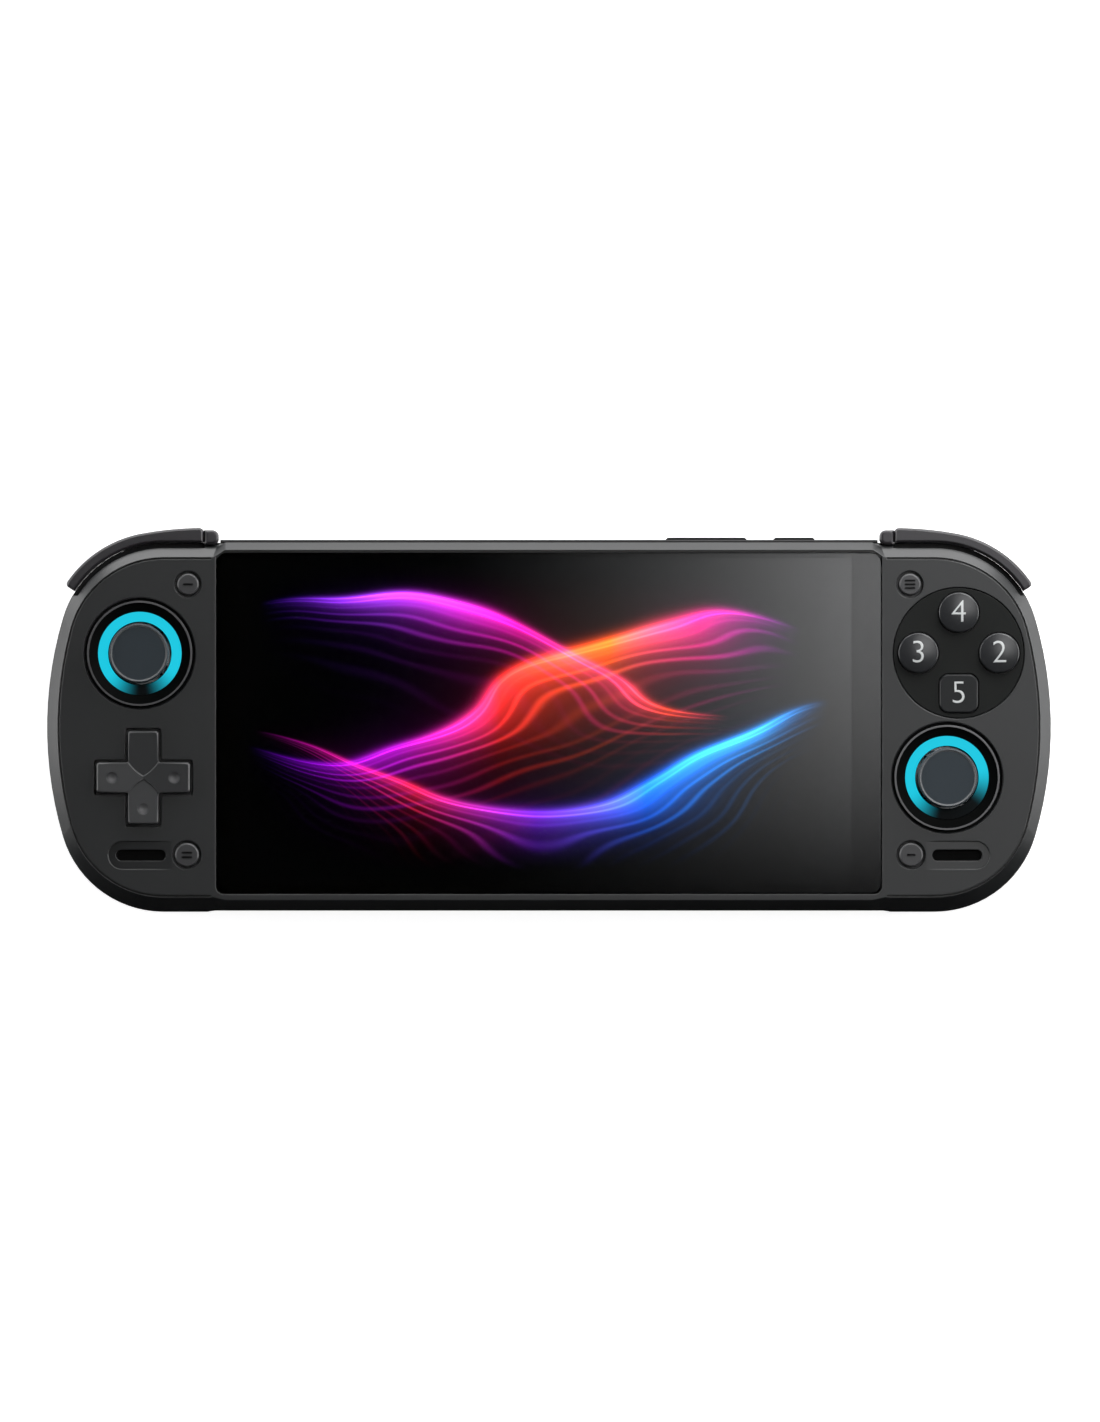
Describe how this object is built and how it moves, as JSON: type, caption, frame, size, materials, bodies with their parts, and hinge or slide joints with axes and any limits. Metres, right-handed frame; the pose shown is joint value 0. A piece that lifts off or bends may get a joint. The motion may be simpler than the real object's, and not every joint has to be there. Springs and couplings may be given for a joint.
{
  "type": "handheld game console",
  "caption": "Handheld game console with a wide screen between two grips, thumbsticks with lit rings, a direction pad, round buttons, shoulder buttons and triggers.",
  "frame": {"origin": "middle of the bounding box in plan, on the plane of the grips' backs", "axes": "+X to the right of the screen, +Y to the top edge with the shoulder buttons, +Z out of the screen; the console lies on its back"},
  "size_m": [0.2682, 0.1024, 0.0282],
  "materials": {
    "face_plastic": "fine matt texture",
    "rear_plastic": "matt black",
    "disc_plastic": "smooth black",
    "key_plastic": "satin dark grey",
    "dpad_plastic": "satin dark grey",
    "shoulder_plastic": "satin dark grey",
    "bezel_plastic": "matt black",
    "cap_rubber": "matt blue-grey",
    "light_diffuser": "cyan diffuser, lit",
    "trim_metal": "bright",
    "cover_glass": "polished",
    "screen_panel": "flat panel",
    "silicone": "grey",
    "steel": "plain",
    "copper": "plain",
    "circuit": "green",
    "pack_film": "black film",
    "fan_plastic": "black"
  },
  "bodies": {
    "housing": {"front_shell": "face_plastic", "rear_shell": "rear_plastic", "rear_screws": "steel", "display_glass": "cover_glass", "display_panel": "screen_panel", "button_disc_plate": "disc_plastic", "face_button_membrane": "silicone", "dpad_membrane": "silicone", "left_control_board": "circuit", "right_control_board": "circuit", "main_board": "circuit", "board_screws": "steel", "battery": "pack_film", "fan_housing": "fan_plastic", "heat_sink": "copper", "usb_port": "steel", "headphone_jack": "fan_plastic", "card_slot": "steel", "left_stick_bezel": "bezel_plastic", "left_stick_trim_ring": "trim_metal", "left_stick_light_ring": "light_diffuser", "left_stick_module": "steel", "left_bumper_pivot": "shoulder_plastic", "left_trigger_pin": "steel", "left_speaker": "fan_plastic", "left_vibration_motor": "steel", "right_stick_bezel": "bezel_plastic", "right_stick_trim_ring": "trim_metal", "right_stick_light_ring": "light_diffuser", "right_stick_module": "steel", "right_bumper_pivot": "shoulder_plastic", "right_trigger_pin": "steel", "right_speaker": "fan_plastic", "right_vibration_motor": "steel"},
    "face_button_top_key": {"face_button_top": "key_plastic"},
    "face_button_left_key": {"face_button_left": "key_plastic"},
    "face_button_right_key": {"face_button_right": "key_plastic"},
    "face_button_bottom_key": {"face_button_bottom": "key_plastic"},
    "left_upper_button_key": {"left_upper_button": "key_plastic"},
    "left_lower_button_key": {"left_lower_button": "key_plastic"},
    "right_upper_button_key": {"right_upper_button": "key_plastic"},
    "right_lower_button_key": {"right_lower_button": "key_plastic"},
    "dpad_pivot": {"dpad_rocker": "fan_plastic"},
    "dpad_pad": {"dpad": "dpad_plastic"},
    "left_stick_frame": {"left_stick_gimbal": "fan_plastic"},
    "left_stick_block": {"left_stick_cradle": "fan_plastic"},
    "left_stick": {"left_stick_shaft": "bezel_plastic", "left_stick_cap": "cap_rubber"},
    "right_stick_frame": {"right_stick_gimbal": "fan_plastic"},
    "right_stick_block": {"right_stick_cradle": "fan_plastic"},
    "right_stick": {"right_stick_shaft": "bezel_plastic", "right_stick_cap": "cap_rubber"},
    "left_bumper_key": {"left_bumper": "shoulder_plastic"},
    "left_trigger_key": {"left_trigger": "shoulder_plastic"},
    "right_bumper_key": {"right_bumper": "shoulder_plastic"},
    "right_trigger_key": {"right_trigger": "shoulder_plastic"},
    "volume_key": {"volume_rocker": "rear_plastic"},
    "power_key": {"power_button": "rear_plastic"},
    "rotor": {"fan_rotor": "fan_plastic"}
  },
  "joints": [
    {"name": "face_button_top_press", "type": "slide", "parent": "housing", "child": "face_button_top_key", "axis": [0, 0, -1], "range_m": [0, 0.001], "stiffness_N_per_m": 600, "springref_m": -0.0003},
    {"name": "face_button_left_press", "type": "slide", "parent": "housing", "child": "face_button_left_key", "axis": [0, 0, -1], "range_m": [0, 0.001], "stiffness_N_per_m": 600, "springref_m": -0.0003},
    {"name": "face_button_right_press", "type": "slide", "parent": "housing", "child": "face_button_right_key", "axis": [0, 0, -1], "range_m": [0, 0.001], "stiffness_N_per_m": 600, "springref_m": -0.0003},
    {"name": "face_button_bottom_press", "type": "slide", "parent": "housing", "child": "face_button_bottom_key", "axis": [0, 0, -1], "range_m": [0, 0.0004], "stiffness_N_per_m": 1500, "springref_m": -0.00012},
    {"name": "left_upper_button_press", "type": "slide", "parent": "housing", "child": "left_upper_button_key", "axis": [0, 0, -1], "range_m": [0, 0.0003], "stiffness_N_per_m": 2666.7, "springref_m": -0.00009},
    {"name": "left_lower_button_press", "type": "slide", "parent": "housing", "child": "left_lower_button_key", "axis": [0, 0, -1], "range_m": [0, 0.0003], "stiffness_N_per_m": 2666.7, "springref_m": -0.00009},
    {"name": "right_upper_button_press", "type": "slide", "parent": "housing", "child": "right_upper_button_key", "axis": [0, 0, -1], "range_m": [0, 0.0003], "stiffness_N_per_m": 2666.7, "springref_m": -0.00009},
    {"name": "right_lower_button_press", "type": "slide", "parent": "housing", "child": "right_lower_button_key", "axis": [0, 0, -1], "range_m": [0, 0.0003], "stiffness_N_per_m": 2666.7, "springref_m": -0.00009},
    {"name": "dpad_tip_up_down", "type": "hinge", "parent": "housing", "child": "dpad_pivot", "pos_m": [-0.1081, -0.01535, 0.0156], "axis": [1, 0, 0], "range_deg": [-4, 4], "stiffness_Nm_per_rad": 0.2},
    {"name": "dpad_tip_left_right", "type": "hinge", "parent": "dpad_pivot", "child": "dpad_pad", "pos_m": [-0.1081, -0.01535, 0.0156], "axis": [0, 1, 0], "range_deg": [-4, 4], "stiffness_Nm_per_rad": 0.2},
    {"name": "left_stick_tilt_up_down", "type": "hinge", "parent": "housing", "child": "left_stick_frame", "pos_m": [-0.1091, 0.01775, 0.0132], "axis": [1, 0, 0], "range_deg": [-15, 15], "stiffness_Nm_per_rad": 0.06},
    {"name": "left_stick_tilt_left_right", "type": "hinge", "parent": "left_stick_frame", "child": "left_stick_block", "pos_m": [-0.1091, 0.01775, 0.0132], "axis": [0, 1, 0], "range_deg": [-15, 15], "stiffness_Nm_per_rad": 0.06},
    {"name": "left_stick_click", "type": "slide", "parent": "left_stick_block", "child": "left_stick", "axis": [0, 0, -1], "range_m": [0, 0.0004], "stiffness_N_per_m": 3750, "springref_m": -0.00012},
    {"name": "right_stick_tilt_up_down", "type": "hinge", "parent": "housing", "child": "right_stick_frame", "pos_m": [0.1061, -0.01535, 0.0132], "axis": [1, 0, 0], "range_deg": [-15, 15], "stiffness_Nm_per_rad": 0.06},
    {"name": "right_stick_tilt_left_right", "type": "hinge", "parent": "right_stick_frame", "child": "right_stick_block", "pos_m": [0.1061, -0.01535, 0.0132], "axis": [0, 1, 0], "range_deg": [-15, 15], "stiffness_Nm_per_rad": 0.06},
    {"name": "right_stick_click", "type": "slide", "parent": "right_stick_block", "child": "right_stick", "axis": [0, 0, -1], "range_m": [0, 0.0004], "stiffness_N_per_m": 3750, "springref_m": -0.00012},
    {"name": "left_bumper_press", "type": "hinge", "parent": "housing", "child": "left_bumper_key", "pos_m": [-0.0939, 0.04875, 0.0168], "axis": [0, 0, 1], "range_deg": [0, 1.6], "stiffness_Nm_per_rad": 1.2, "springref_deg": -0.57},
    {"name": "left_trigger_pull", "type": "hinge", "parent": "housing", "child": "left_trigger_key", "pos_m": [-0.1035, 0.04225, 0.0096], "axis": [-1, 0, 0], "range_deg": [0, 15], "stiffness_Nm_per_rad": 0.06, "springref_deg": -8.59},
    {"name": "right_bumper_press", "type": "hinge", "parent": "housing", "child": "right_bumper_key", "pos_m": [0.0939, 0.04875, 0.0168], "axis": [0, 0, -1], "range_deg": [0, 1.6], "stiffness_Nm_per_rad": 1.2, "springref_deg": -0.57},
    {"name": "right_trigger_pull", "type": "hinge", "parent": "housing", "child": "right_trigger_key", "pos_m": [0.1035, 0.04225, 0.0096], "axis": [-1, 0, 0], "range_deg": [0, 15], "stiffness_Nm_per_rad": 0.06, "springref_deg": -8.59},
    {"name": "volume_rock", "type": "hinge", "parent": "housing", "child": "volume_key", "pos_m": [0.042, 0.04305, 0.0116], "axis": [0, 0, 1], "range_deg": [-0.7, 0.7], "stiffness_Nm_per_rad": 2},
    {"name": "power_press", "type": "slide", "parent": "housing", "child": "power_key", "axis": [0, -1, 0], "range_m": [0, 0.0003], "stiffness_N_per_m": 4000, "springref_m": -0.00009},
    {"name": "fan_spin", "type": "hinge", "parent": "housing", "child": "rotor", "pos_m": [-0.057, 0.01425, 0.0121], "axis": [0, 0, 1], "continuous": true}
  ]
}
